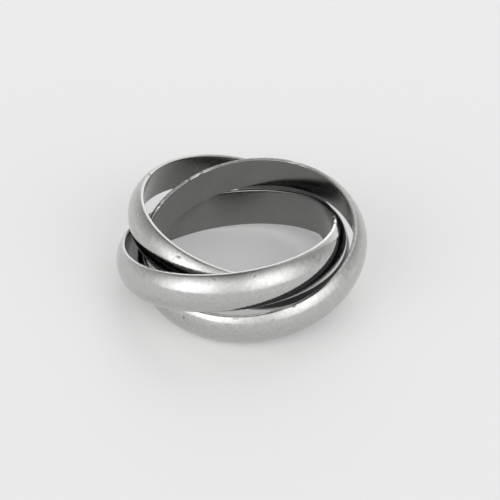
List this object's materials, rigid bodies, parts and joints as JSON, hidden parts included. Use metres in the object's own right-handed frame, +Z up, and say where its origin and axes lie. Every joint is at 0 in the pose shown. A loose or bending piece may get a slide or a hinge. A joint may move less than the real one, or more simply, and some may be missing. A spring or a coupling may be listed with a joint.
{
  "type": "rolling ring",
  "caption": "Interlinked plain domed bands, each loose in the others, which roll over a finger together; shown lying on a table.",
  "frame": {"origin": "on the table, below the middle of the box that holds all three bands as they lie", "axes": "+Z up from the table; +X to the right and +Y away from the viewer as the picture shows the ring"},
  "size_m": [0.0226, 0.024, 0.0084],
  "materials": {
    "left_band_steel": "polished to a soft shine and finely scratched by wear",
    "front_band_steel": "polished to a soft shine and finely scratched by wear",
    "outer_band_steel": "polished to a soft shine and finely scratched by wear"
  },
  "bodies": {
    "outer_band": {"outer_band": "outer_band_steel"},
    "left_band": {"left_band": "left_band_steel"},
    "front_band": {"front_band": "front_band_steel"}
  },
  "joints": [
    {"name": "left_band_turn", "type": "hinge", "parent": "outer_band", "child": "left_band", "pos_m": [-0.00019, 0.00155, 0.0039], "axis": [0.2257, 0.0255, 0.9739], "continuous": true},
    {"name": "front_band_turn", "type": "hinge", "parent": "outer_band", "child": "front_band", "pos_m": [-0.00091, -0.00173, 0.00418], "axis": [-0.1389, 0.216, 0.9664], "continuous": true}
  ]
}
